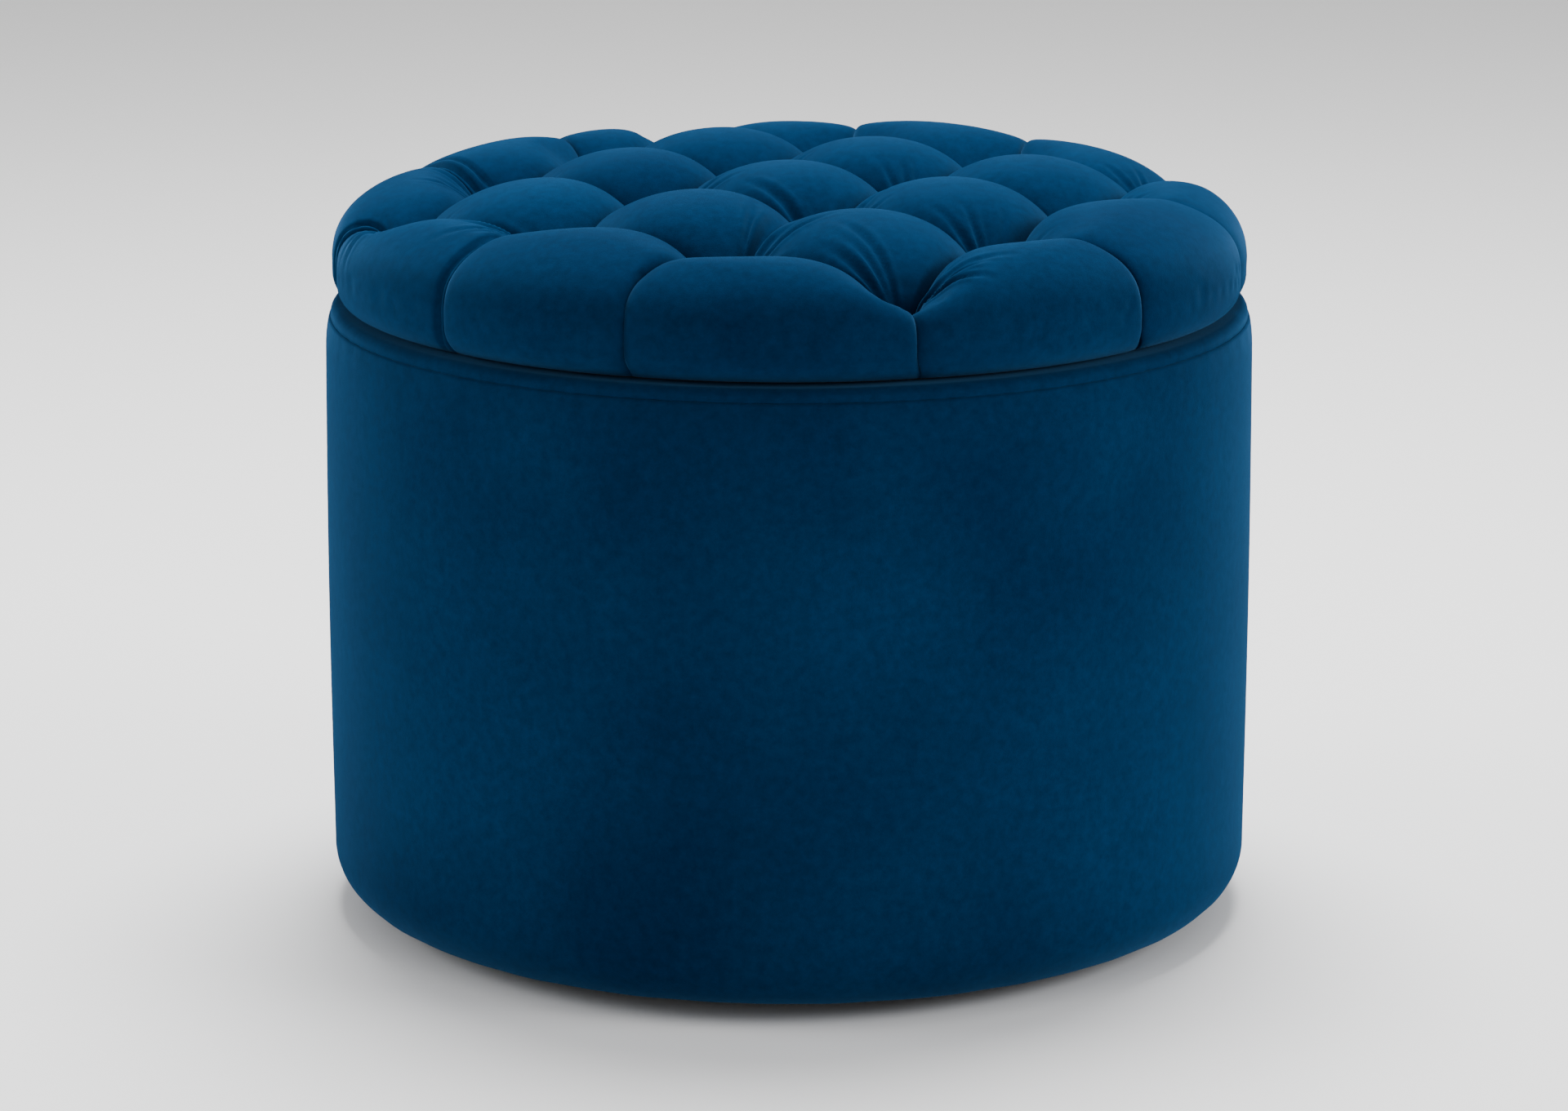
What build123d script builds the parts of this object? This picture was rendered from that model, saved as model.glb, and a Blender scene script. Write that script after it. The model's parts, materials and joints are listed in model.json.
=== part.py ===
"""Round tufted storage ottoman: an upholstered drum with an open well and a padded lid that lifts off.

The drum ("base") is a timber and hardboard frame, wrapped in foam and velvet. The lid is a board with
foam, wadding and a velvet cover, drawn down by covered buttons that are tied through the board.

Frame: millimetres, +Z up, origin on the floor at the centre of the drum.
"""
from math import cos, pi, radians, sin
import os

from build123d import *

# ---------------------------------------------------------------- driving dimensions
BODY_RADIUS = 300.0             # velvet at the widest ring of the drum
RIM_HEIGHT = 400.0              # floor to the top of the rim band
LID_RADIUS = 295.5              # velvet at the widest ring of the lid
GLIDE_HEIGHT = 8.0              # glides that the drum stands on
GLIDE_SPOT = 200.0              # radius at which the glides sit
VELVET = 1.6                    # cover thickness
LINING = 1.0                    # lining fabric thickness
BOARD = 15.0                    # bottom board and lid board
HARDBOARD = 3.0                 # bent wall boards and the loose floor panel
WELL_RADIUS = 240.0             # bare inner face of the inner wall board
TUFT_ROWS = 4                   # the buttons are a square grid, this many each way
TUFT_PITCH = 119.0              # spacing of the buttons
TUFT_TURN = -29.0               # degrees, the grid's turn about Z
TUFT_CENTRE = (0.0, -8.0)       # the grid sits a little forward of the lid's centre
GAP = 0.15                      # air between layers that only touch

# ---------------------------------------------------------------- drum: glides, posts and fasteners
# a screw is its shank radius, head radius and head height
GLIDE_COUNT = 4
GLIDE_TURN = 45.0               # azimuth of the first glide
GLIDE_RADIUS = 16.0
GLIDE_BOSS = 6.0                # radius of the spigot that stands through the dust cover
GLIDE_CHAMFER = 1.5
GLIDE_RECESS = 5.0              # radius of the recess that hides a glide's screw
GLIDE_SCREW_LOW = 3.2           # depth of that recess
GLIDE_SCREW = (1.9, 4.4, 2.4)
GLIDE_SCREW_BITE = 11.0         # length of the screw in the bottom board
SCREW_PLAY = 0.05
DRIVER_DEPTH = 0.6              # driver recess in a screw's head, as a share of the head's height
DRIVER_RADIUS = 0.35            # the same, as a share of the head's radius
POST_COUNT = 8
POST_TURN = 22.5                # azimuth of the first post
POST_WIDTH = 44.0
FRAME_SCREW = (2.2, 4.5, 3.0)
FRAME_SCREW_LENGTH = 55.0
PIN_RADIUS = 0.8
PIN_LENGTH = 14.0
PIN_SPREAD = 2.0                # degrees between a post's middle and its pins
PIN_INSET = 60.0                # outer rows of pins, from the ends of the wall boards
UNDERSIDE_STAPLES = 36
UNDERSIDE_STAPLE_TURN = 5.0     # azimuth of the first of them
RIM_STAPLES = 32
RIM_STAPLE_TURN = 3.0
STAPLE_BITE = 6.0               # length of a staple's legs in the board

# ---------------------------------------------------------------- drum: heights and radii
DUST_COVER = 0.8
COVER_UNDER_Z = GLIDE_HEIGHT + DUST_COVER + GAP       # underside of the velvet turned under the drum
BOTTOM_Z = COVER_UNDER_Z + VELVET + GAP               # underside of the bottom board
FLOOR_Z = BOTTOM_Z + BOARD                            # top of the bottom board
RIM_PADDING = 8.0
FRAME_TOP = RIM_HEIGHT - VELVET - RIM_PADDING - 2 * GAP
RING_HEIGHT = 18.0
INNER_BOARD_OUT = WELL_RADIUS + HARDBOARD
OUTER_BOARD_IN = 263.0
OUTER_BOARD_OUT = OUTER_BOARD_IN + HARDBOARD
EDGE_RADIUS = 33.0              # rounding of the drum's bottom edge
SEAM_DROP = 9.0                 # rim band seam below the top of the rim
SEAM_RADIUS = 297.2             # cover radius at that seam
SHOULDER_DROP = 30.0            # the side leans in to the seam from this far below the rim
BAND_RADIUS = 296.0
BAND_EDGE = 7.0                 # rounding of the rim's outer edge
BULGE = 0.9                     # how far the drum's side bows between its two ends
TURN_UNDER = 250.0              # inner edge of the velvet turned under the drum
DUST_COVER_LAP = 8.0            # how far the dust cover laps over that edge
STAPLE_INSET = 4.0              # staples, from the edge of the velvet they hold
BAND_TUCK_Z = FRAME_TOP - 24.0  # foot of the rim band inside the well
PANEL_PLAY = 1.0                # air round the loose floor panel

# ---------------------------------------------------------------- lid: heights and radii
LID_GAP = 0.4                                         # clear air between the rim and the resting lid
LID_LINING_Z = RIM_HEIGHT + LID_GAP
LID_COVER_Z = LID_LINING_Z + LINING + GAP             # underside of the velvet turned under the lid
LID_BOARD_Z = LID_COVER_Z + VELVET
LID_BOARD_RADIUS = 277.0
LID_WIDEST_Z = RIM_HEIGHT + 18.0
SHOULDER_TURN = 60.0            # degrees that the shoulder arc turns from upright
BLEND_TURN = 83.0               # degrees from upright where the blend arc meets the crown
SHOULDER = 58.0                 # radius of the lid's shoulder arc
BLEND = 150.0                   # radius of the arc between the shoulder and the crown
WADDING = 6.0
LID_TURN_UNDER = 256.0          # inner edge of the velvet turned under the lid board
BUTTON_RADIUS = 8.0
BUTTON_HEIGHT = 7.0
BUTTON_LIFT = 10.0                                    # foam left under the pinched buttons
BUTTON_Z = LID_BOARD_Z + BOARD + BUTTON_LIFT
PIT_RADIUS = 9.0                # pinched tufting pit around a button
TWINE_RADIUS = 1.2
TWINE_HOLE = 2.5                # radius of the twine's hole through board and foam
TWINE_PLAY = 0.4                # air round the twine where it passes the velvet
WASHER_RADIUS = 5.0
WASHER_PLAY = 0.3
LOCATOR_OUT = 236.0             # ring under the lid that drops into the well
LOCATOR_WIDTH = 16.0
LOCATOR_HEIGHT = 15.0
LOCATOR_CHAMFER = 2.5
LOCATOR_SCREW = (2.0, 4.2, 2.8)
LOCATOR_SCREWS = 8
LOCATOR_SCREW_TURN = 12.0       # azimuth of the first of them
LOCATOR_SCREW_BITE = 10.0       # length of the screw in the lid board
LID_STAPLES = 40
LID_STAPLE_TURN = 2.0
WASHER = 1.2                    # washer thickness

nodes = {}


def arc_centres():
    """Centres of the lid's side arcs, lowest first, and the crown's radius: each meets the next smoothly."""
    edge = LID_WIDEST_Z - LID_COVER_Z
    a = radians(SHOULDER_TURN)
    b = radians(BLEND_TURN)
    low = (LID_RADIUS - edge, LID_WIDEST_Z)
    shoulder = (LID_RADIUS - SHOULDER, LID_WIDEST_Z)
    blend = (shoulder[0] - (BLEND - SHOULDER) * cos(a), shoulder[1] - (BLEND - SHOULDER) * sin(a))
    crown_radius = BLEND + blend[0] / cos(b)
    crown = (0.0, blend[1] - (crown_radius - BLEND) * sin(b))
    return (low, shoulder, blend, crown), (edge, SHOULDER, BLEND, crown_radius)


ARC_CENTRES, ARC_RADII = arc_centres()
LID_CREST = ARC_CENTRES[3][1] + ARC_RADII[3]          # floor to the highest point of the lid


# ---------------------------------------------------------------- helpers
def ring(inner, outer, low, high):
    """Flat-faced ring from radius inner to outer, between two heights."""
    body = Pos(0, 0, (low + high) / 2) * Cylinder(outer, high - low)
    if inner > 0:
        body -= Pos(0, 0, (low + high) / 2) * Cylinder(inner, high - low + 2)
    return body


def lathe(*edges):
    """Solid of revolution about Z from a closed outline in the XZ plane."""
    return revolve(make_face(Wire(list(edges))), Axis.Z, 360)


def around(shape, count, start=0.0):
    """Copies of shape, evenly spaced about Z."""
    return [Rot(0, 0, start + 360 * i / count) * shape for i in range(count)]


def rod(x, y, low, high, radius):
    """Upright cylinder."""
    return Pos(x, y, (low + high) / 2) * Cylinder(radius, high - low)


def screw_space(low, high, shank, head, head_height):
    """Space that a countersunk screw along Z takes, head down at the low end."""
    body = rod(0, 0, low + head_height, high, shank)
    return body + Pos(0, 0, low + head_height / 2) * Cone(head, shank, head_height)


def wood_screw(low, high, shank, head, head_height):
    """Countersunk screw with its driver recess."""
    recess = rod(0, 0, low - 1, low + head_height * DRIVER_DEPTH, head * DRIVER_RADIUS)
    return screw_space(low, high, shank, head, head_height) - recess


def staple(radius, surface_z, depth, crown=10.0, wire=0.6):
    """Upholstery staple driven up into a board, its crown pressed flush into the cloth."""
    bar = Pos(radius, 0, surface_z + wire / 2) * Box(wire, crown, wire)
    for side in (-1, 1):
        bar += Pos(radius, side * (crown - wire) / 2, surface_z + depth / 2) * Box(wire, wire, depth)
    return bar


def tuft_points():
    """Centres of the buttons on their turned square grid."""
    turn = radians(TUFT_TURN)
    middle = (TUFT_ROWS - 1) / 2
    places = []
    for row in range(TUFT_ROWS):
        for column in range(TUFT_ROWS):
            along = (column - middle) * TUFT_PITCH
            across = (row - middle) * TUFT_PITCH
            x = TUFT_CENTRE[0] + along * cos(turn) - across * sin(turn)
            y = TUFT_CENTRE[1] + along * sin(turn) + across * cos(turn)
            places.append((x, y))
    return places


# ---------------------------------------------------------------- drum: feet and bottom
def make_feet():
    """Four round plastic glides screwed through the dust cover, and the holes they need."""
    glide = rod(0, 0, 0, GLIDE_HEIGHT, GLIDE_RADIUS) + rod(0, 0, 0, BOTTOM_Z, GLIDE_BOSS)
    glide = chamfer(glide.edges().group_by(Axis.Z)[0], GLIDE_CHAMFER)
    screw_size = (GLIDE_SCREW_LOW, BOTTOM_Z + GLIDE_SCREW_BITE, *GLIDE_SCREW)
    glide -= screw_space(*screw_size)
    glide -= rod(0, 0, -1, GLIDE_SCREW_LOW, GLIDE_RECESS)
    place = Pos(GLIDE_SPOT, 0, 0)
    for i, copy in enumerate(around(place * glide, GLIDE_COUNT, GLIDE_TURN)):
        nodes[f"foot_glide_{i + 1}"] = copy
    nodes["glide_screws"] = Compound(around(place * wood_screw(*screw_size), GLIDE_COUNT, GLIDE_TURN))
    dust_cover = ring(0, TURN_UNDER + DUST_COVER_LAP, GLIDE_HEIGHT, GLIDE_HEIGHT + DUST_COVER)
    for hole in around(rod(GLIDE_SPOT, 0, 0, BOTTOM_Z, GLIDE_BOSS + GAP), GLIDE_COUNT, GLIDE_TURN):
        dust_cover -= hole
    nodes["dust_cover"] = dust_cover


def make_bottom():
    """Round bottom board with glide pilot holes, and the staples under it."""
    board = ring(0, OUTER_BOARD_OUT, BOTTOM_Z, FLOOR_Z)
    hole_top = BOTTOM_Z + GLIDE_SCREW_BITE + 1
    pilot = rod(GLIDE_SPOT, 0, BOTTOM_Z - 1, hole_top, GLIDE_SCREW[0] + SCREW_PLAY)
    for hole in around(pilot, GLIDE_COUNT, GLIDE_TURN):
        board -= hole
    nodes["bottom_board"] = board
    pin = staple(TURN_UNDER + STAPLE_INSET, GLIDE_HEIGHT, BOTTOM_Z - GLIDE_HEIGHT + STAPLE_BITE)
    nodes["underside_staples"] = Compound(around(pin, UNDERSIDE_STAPLES, UNDERSIDE_STAPLE_TURN))


# ---------------------------------------------------------------- drum: frame
def make_frame():
    """Lower and upper ring, eight posts between them, and the screws that hold them."""
    inner = INNER_BOARD_OUT + GAP
    outer = OUTER_BOARD_IN - GAP
    lower_top = FLOOR_Z + RING_HEIGHT
    upper_low = FRAME_TOP - RING_HEIGHT
    lower_ring = ring(inner, outer, FLOOR_Z, lower_top)
    upper_ring = ring(inner, outer, upper_low, FRAME_TOP)
    post = ring(inner, outer, lower_top, upper_low)
    middle = (inner + outer) / 2
    post &= Pos(middle, 0, (lower_top + upper_low) / 2) * Box(4 * (outer - inner), POST_WIDTH, upper_low)
    size = (BOTTOM_Z, BOTTOM_Z + FRAME_SCREW_LENGTH, *FRAME_SCREW)
    up = Pos(middle, 0, 0)
    down = Pos(middle, 0, FRAME_TOP + BOTTOM_Z) * Rot(180, 0, 0)
    screws = []
    spaces = []
    for place in (up, down):
        screws += around(place * wood_screw(*size), POST_COUNT, POST_TURN)
        spaces += around(place * screw_space(*size), POST_COUNT, POST_TURN)
    holes = Compound(spaces)
    nodes["bottom_board"] -= holes
    nodes["lower_frame_ring"] = lower_ring - holes
    nodes["upper_frame_ring"] = upper_ring - holes
    for i, copy in enumerate(around(post, POST_COUNT, POST_TURN)):
        nodes[f"frame_post_{i + 1}"] = copy - holes
    nodes["frame_screws"] = Compound(screws)


def make_walls():
    """Two hardboard sheets bent round the posts, with their pins."""
    nodes["outer_wall_board"] = ring(OUTER_BOARD_IN, OUTER_BOARD_OUT, FLOOR_Z, FRAME_TOP)
    nodes["inner_wall_board"] = ring(WELL_RADIUS, INNER_BOARD_OUT, FLOOR_Z, FRAME_TOP)
    outer_pins = []
    inner_pins = []
    for z in (FLOOR_Z + PIN_INSET, (FLOOR_Z + FRAME_TOP) / 2, FRAME_TOP - PIN_INSET):
        level = Pos(0, 0, z) * Rot(0, 90, 0)
        outer_pin = level * rod(0, 0, OUTER_BOARD_OUT - PIN_LENGTH, OUTER_BOARD_OUT, PIN_RADIUS)
        inner_pin = level * rod(0, 0, WELL_RADIUS, WELL_RADIUS + PIN_LENGTH, PIN_RADIUS)
        outer_pins += around(outer_pin, POST_COUNT, POST_TURN - PIN_SPREAD)
        inner_pins += around(inner_pin, POST_COUNT, POST_TURN + PIN_SPREAD)
    nodes["outer_board_pins"] = Compound(outer_pins)
    nodes["inner_board_pins"] = Compound(inner_pins)


# ---------------------------------------------------------------- drum: upholstery
def side_outline(inset):
    """Edges of the drum's side from the turned-under bottom edge up to the seam, set in by inset."""
    low = COVER_UNDER_Z + inset
    edge = EDGE_RADIUS - inset
    start_r = BODY_RADIUS - BULGE - EDGE_RADIUS
    corner_z = low + edge
    side_r = start_r + edge
    slant = edge * sin(pi / 4)
    shoulder_z = RIM_HEIGHT - SHOULDER_DROP
    seam = (SEAM_RADIUS - inset, 0, RIM_HEIGHT - SEAM_DROP)
    side = ThreePointArc(
        (side_r, 0, corner_z), (side_r + BULGE, 0, (corner_z + shoulder_z) / 2), (side_r, 0, shoulder_z),
    )
    return [
        ThreePointArc((start_r, 0, low), (start_r + slant, 0, corner_z - slant), (side_r, 0, corner_z)),
        side,
        TangentArc((side_r, 0, shoulder_z), seam, tangent=side % 1),
    ]


def make_side():
    """Foam round the drum and the velvet cover over it, turned under the bottom edge."""
    outer = side_outline(0)
    inner = side_outline(VELVET)
    top_out = outer[-1] @ 1
    top_in = inner[-1] @ 1
    low_out = outer[0] @ 0
    low_in = inner[0] @ 0
    turned_out = (TURN_UNDER, 0, low_out.Z)
    turned_in = (TURN_UNDER, 0, low_in.Z)
    nodes["side_cover"] = lathe(
        Line(turned_out, low_out), *outer, Line(top_out, top_in), *inner,
        Line(low_in, turned_in), Line(turned_in, turned_out),
    )
    face = side_outline(VELVET + GAP)
    foam_in = OUTER_BOARD_OUT + GAP
    foam_low = face[0] @ 0
    foam_top = face[-1] @ 1
    block = lathe(
        Line((foam_low.X, 0, foam_low.Z), (foam_low.X, 0, foam_top.Z)),
        Line((foam_low.X, 0, foam_top.Z), foam_top), *face,
    )
    nodes["wall_foam"] = block - ring(0, foam_in, 0, RIM_HEIGHT)


def make_rim():
    """Padding on the upper ring and the velvet band that wraps it and turns down into the well."""
    top = RIM_HEIGHT
    seam_z = RIM_HEIGHT - SEAM_DROP + GAP
    well = WELL_RADIUS - LINING - GAP
    tuck_z = BAND_TUCK_Z

    def band_outline(inset, foot_z):
        out_r = BAND_RADIUS - inset
        in_r = well + inset
        edge = BAND_EDGE - inset
        high = top - inset
        slant = edge * (1 - sin(pi / 4))
        return [
            Line((out_r, 0, foot_z), (out_r, 0, high - edge)),
            ThreePointArc((out_r, 0, high - edge), (out_r - slant, 0, high - slant), (out_r - edge, 0, high)),
            Line((out_r - edge, 0, high), (in_r + edge, 0, high)),
            ThreePointArc((in_r + edge, 0, high), (in_r + slant, 0, high - slant), (in_r, 0, high - edge)),
        ]

    skin = band_outline(0, seam_z)
    under = band_outline(VELVET, seam_z)
    inner_r = well + VELVET
    nodes["rim_band"] = lathe(
        *skin, Line((well, 0, top - BAND_EDGE), (well, 0, tuck_z)),
        Line((well, 0, tuck_z), (inner_r, 0, tuck_z)),
        Line((inner_r, 0, tuck_z), (inner_r, 0, top - BAND_EDGE)), *under,
        Line((BAND_RADIUS - VELVET, 0, seam_z), (BAND_RADIUS, 0, seam_z)),
    )
    core = band_outline(VELVET + GAP, seam_z)
    foot = core[0] @ 0
    inside = core[-1] @ 1
    nodes["rim_padding"] = lathe(
        *core, Line(inside, (inside.X, 0, seam_z)), Line((inside.X, 0, seam_z), foot),
    ) - ring(0, OUTER_BOARD_OUT + GAP, 0, FRAME_TOP + GAP)
    nodes["inner_wall_board"] -= ring(0, inner_r + GAP, tuck_z - GAP, RIM_HEIGHT)
    pin = staple((WELL_RADIUS + OUTER_BOARD_OUT) / 2, FRAME_TOP, STAPLE_BITE)
    pin = Pos(0, 0, 2 * FRAME_TOP) * Rot(180, 0, 0) * pin
    nodes["rim_staples"] = Compound(around(pin, RIM_STAPLES, RIM_STAPLE_TURN))


def make_well():
    """Wall lining and the loose, lined floor panel of the storage well."""
    lining_in = WELL_RADIUS - LINING - GAP
    lining_top = BAND_TUCK_Z - GAP
    nodes["wall_lining"] = ring(lining_in, WELL_RADIUS - GAP, FLOOR_Z + GAP, lining_top)
    panel_top = FLOOR_Z + HARDBOARD
    nodes["floor_panel"] = ring(0, lining_in - PANEL_PLAY, FLOOR_Z, panel_top)
    nodes["floor_lining"] = ring(0, lining_in - PANEL_PLAY / 2, panel_top + GAP, panel_top + LINING + GAP)


# ---------------------------------------------------------------- lid
def dome(inset):
    """The lid's padded shape, set in by inset from the velvet's outer face, without its pits.

    Its side is four arcs that meet smoothly: the rounded lower edge, the shoulder, the blend and the crown.
    """
    reach = [radius - inset for radius in ARC_RADII]
    turns = (-90, 0, SHOULDER_TURN, BLEND_TURN, 90)

    def point(arc, angle):
        x, z = ARC_CENTRES[arc]
        return (x + reach[arc] * cos(radians(angle)), 0, z + reach[arc] * sin(radians(angle)))

    arcs = []
    for arc in range(4):
        first, last = turns[arc], turns[arc + 1]
        arcs.append(ThreePointArc(point(arc, first), point(arc, (first + last) / 2), point(arc, last)))
    foot = point(0, -90)
    crest = point(3, 90)
    middle = Line((0, 0, crest[2]), (0, 0, foot[2]))
    return lathe(*arcs, middle, Line((0, 0, foot[2]), foot))


def pits(grow):
    """Tufting pits above every button, made larger all round by grow."""
    low = BUTTON_Z - grow
    return [rod(x, y, low, LID_CREST + 10, PIT_RADIUS + grow) for x, y in tuft_points()]


def layer(inset):
    """The lid's padded shape set in by inset, pits included."""
    body = dome(inset)
    for pit in pits(inset):
        body -= pit
    return body


def make_lid_board():
    """Lid board with a twine hole under every button, its lining and the ring that locates it."""
    board_top = LID_BOARD_Z + BOARD
    board = ring(0, LID_BOARD_RADIUS, LID_BOARD_Z, board_top)
    for x, y in tuft_points():
        board -= rod(x, y, LID_BOARD_Z - 1, board_top + 1, TWINE_HOLE)
    lining = ring(0, LID_BOARD_RADIUS, LID_LINING_Z, LID_LINING_Z + LINING)
    locator_in = LOCATOR_OUT - LOCATOR_WIDTH
    locator_low = LID_LINING_Z - LOCATOR_HEIGHT
    locator = ring(locator_in, LOCATOR_OUT, locator_low, LID_LINING_Z)
    locator = chamfer(locator.edges().group_by(Axis.Z)[0], LOCATOR_CHAMFER)
    size = (locator_low, LID_BOARD_Z + LOCATOR_SCREW_BITE, *LOCATOR_SCREW)
    place = Pos((locator_in + LOCATOR_OUT) / 2, 0, 0)
    spaces = Compound(around(place * screw_space(*size), LOCATOR_SCREWS, LOCATOR_SCREW_TURN))
    nodes["lid_board"] = board - spaces
    nodes["lid_lining"] = lining - spaces
    nodes["locating_ring"] = locator - spaces
    screws = around(place * wood_screw(*size), LOCATOR_SCREWS, LOCATOR_SCREW_TURN)
    nodes["locating_ring_screws"] = Compound(screws)


def make_lid_padding():
    """Foam block, wadding and velvet cover, each with its pits, and the staples under the board."""
    cover_inside = layer(VELVET)
    wadding_out = layer(VELVET + GAP)
    wadding_inside = layer(VELVET + GAP + WADDING)
    foam_out = layer(VELVET + WADDING + 2 * GAP)
    board_space = ring(0, LID_BOARD_RADIUS + GAP, 0, LID_BOARD_Z + BOARD)
    cover = layer(0) - cover_inside - ring(0, LID_TURN_UNDER, 0, LID_BOARD_Z)
    wadding = wadding_out - wadding_inside - board_space
    foam = foam_out - board_space
    for x, y in tuft_points():
        cover -= rod(x, y, LID_BOARD_Z, BUTTON_Z + 1, TWINE_RADIUS + TWINE_PLAY)
        cover -= rod(x, y, LID_LINING_Z, LID_BOARD_Z, WASHER_RADIUS + WASHER_PLAY)
        wadding -= rod(x, y, LID_BOARD_Z, BUTTON_Z, TWINE_HOLE)
        foam -= rod(x, y, LID_BOARD_Z, BUTTON_Z, TWINE_HOLE)
    nodes["lid_cover"] = cover
    nodes["lid_wadding"] = wadding
    nodes["lid_foam"] = foam
    pin = staple(LID_TURN_UNDER + STAPLE_INSET, LID_COVER_Z, VELVET + STAPLE_BITE)
    nodes["lid_staples"] = Compound(around(pin, LID_STAPLES, LID_STAPLE_TURN))


def make_tufting():
    """Covered buttons, the twines that tie them down, and the washers under the board."""
    buttons = []
    twines = []
    washers = []
    washer_top = LID_BOARD_Z
    button_low = BUTTON_Z + GAP
    for x, y in tuft_points():
        dome_radius = (BUTTON_RADIUS ** 2 + BUTTON_HEIGHT ** 2) / (2 * BUTTON_HEIGHT)
        button = Pos(x, y, button_low + BUTTON_HEIGHT - dome_radius) * Sphere(dome_radius)
        button &= rod(x, y, button_low, button_low + BUTTON_HEIGHT + 1, BUTTON_RADIUS)
        buttons.append(button)
        twines.append(rod(x, y, washer_top, button_low, TWINE_RADIUS))
        washers.append(rod(x, y, washer_top - WASHER, washer_top, WASHER_RADIUS))
    nodes["tuft_buttons"] = Compound(buttons)
    nodes["tuft_twines"] = Compound(twines)
    nodes["twine_washers"] = Compound(washers)


def main():
    """Build every sub-part and write one STEP file for each."""
    make_feet()
    make_bottom()
    make_frame()
    make_walls()
    make_side()
    make_rim()
    make_well()
    make_lid_board()
    make_lid_padding()
    make_tufting()
    os.makedirs("parts", exist_ok=True)
    for name, shape in nodes.items():
        if isinstance(shape, ShapeList):
            shape = Compound(list(shape))
        export_step(shape, f"parts/{name}.step")


main()
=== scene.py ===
"""Round tufted storage ottoman: velvet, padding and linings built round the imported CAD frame.

Lengths are millimetres until a mesh is made, except for lamps and bumps, which are in metres. The constant
angles are degrees: an azimuth is 0 at the front (-Y), and the other directions are 0 at +X.
"""
import json
import math

import bpy
import numpy as np
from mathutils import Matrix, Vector


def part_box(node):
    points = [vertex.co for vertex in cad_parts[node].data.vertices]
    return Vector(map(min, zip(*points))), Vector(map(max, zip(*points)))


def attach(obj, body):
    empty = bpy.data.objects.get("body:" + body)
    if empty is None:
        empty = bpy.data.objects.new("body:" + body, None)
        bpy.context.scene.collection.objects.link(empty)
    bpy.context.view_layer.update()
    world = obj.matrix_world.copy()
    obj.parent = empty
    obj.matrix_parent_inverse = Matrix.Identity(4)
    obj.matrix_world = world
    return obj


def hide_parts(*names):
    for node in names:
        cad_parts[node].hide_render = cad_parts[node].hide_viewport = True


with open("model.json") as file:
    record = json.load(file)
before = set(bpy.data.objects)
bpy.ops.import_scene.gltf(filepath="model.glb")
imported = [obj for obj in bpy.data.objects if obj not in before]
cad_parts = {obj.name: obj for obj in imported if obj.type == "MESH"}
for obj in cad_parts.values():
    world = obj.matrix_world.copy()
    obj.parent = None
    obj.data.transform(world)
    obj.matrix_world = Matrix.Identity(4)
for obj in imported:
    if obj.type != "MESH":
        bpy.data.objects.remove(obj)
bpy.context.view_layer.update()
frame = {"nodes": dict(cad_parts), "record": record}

MM = 0.001
SEED = 11


def low(node):
    """Lowest corner of a CAD node, in millimetres."""
    return np.array(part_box(node)[0]) / MM


def high(node):
    """Highest corner of a CAD node, in millimetres."""
    return np.array(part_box(node)[1]) / MM


# ---------------------------------------------------------------- sizes taken from the frame
RIM_Z = high("rim_band")[2]
BAND_RADIUS = high("rim_band")[0]
DRUM_RADIUS = high("side_cover")[0]
DRUM_LOW_Z = low("side_cover")[2]
SEAM_Z = high("side_cover")[2]
WELL_RADIUS = high("wall_lining")[0]
LINING_TOP_Z = high("wall_lining")[2]
LID_RADIUS = high("lid_cover")[0]
LID_LOW_Z = low("lid_cover")[2]
CREST_DROP = 6.5                # how far the crests of the outer lobes lie below the CAD's dome
LID_CREST_Z = high("lid_cover")[2] - CREST_DROP
LID_BOARD_Z = high("lid_board")[2]
LID_BOARD_RADIUS = high("lid_board")[0]
PIT_Z = low("tuft_buttons")[2]

# ---------------------------------------------------------------- tufting
TUFT_COUNT = 4                  # buttons along each side of the grid
TUFT_PITCH = 119.0
TUFT_TURN = -29.0               # turn of the grid, seen from above
TUFT_CENTRE = np.array([0.0, -8.0])
LID_WIDEST_Z = RIM_Z + 18.0
DOME_POWER = 3.15               # superellipse that rounds the lid's shoulder
TURNED_UNDER = 14.0             # how far inside the edge of the lid's board the velvet ends
SHOULDER_RADIUS = 250.0         # up to here the velvet is pushed straight down, and further out sideways
SHOULDER_BLEND = 30.0
CREASE = 26.0                   # depth of a pleat halfway between two buttons
INNER_DROP = 5.0                # how far the crests of the nine inner lobes lie below the dome
SIDE_CREASE = 15.0              # depth of a pleat on the lid's shoulder
SIDE_CREASE_REACH = 45.0        # how far from its pit an outer pleat becomes that shallow
INNER_REACH = 0.55 * TUFT_PITCH     # how far out the inner edge of an outer lobe is rounded
LIP = 5.6                       # how far a fold leans over its pleat
LIP_WIDTH = 2.8                 # distance of the fold's crest from the pleat
OUTER_LIP = 1.15                # how much further the folds of the outer pleats lean
UNDER_FADE = 22.0               # the pleats run out over this length before the flat underside
PIT_REACH = 42.0                # how far along a pleat a pit still pulls it down
PINCH = 10.0                    # how far the lobes' corners sink beside a pit
PINCH_REACH = 26.0
WELL_REACH = 28.0               # how far round a pit the velvet sinks in one direction
WELL_FLOOR = 5.0                # radius of a well's flat floor on its button
WELL_WALL = 9.0                 # width of the slope round that floor
# azimuths at which the twelve outer pleats reach the lid's edge, from the front left corner round
PLEAT_AZIMUTHS = {
    (0, 0): -82, (1, 0): -46, (2, 0): -19.5, (3, 0): 16, (3, 1): 49, (3, 2): 80,
    (3, 3): 114, (2, 3): 143, (1, 3): 170, (0, 3): 197, (0, 2): 218, (0, 1): 247,
}
PLEAT_END = 0.985               # share of the lid's radius at which a pleat reaches its azimuth
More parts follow.
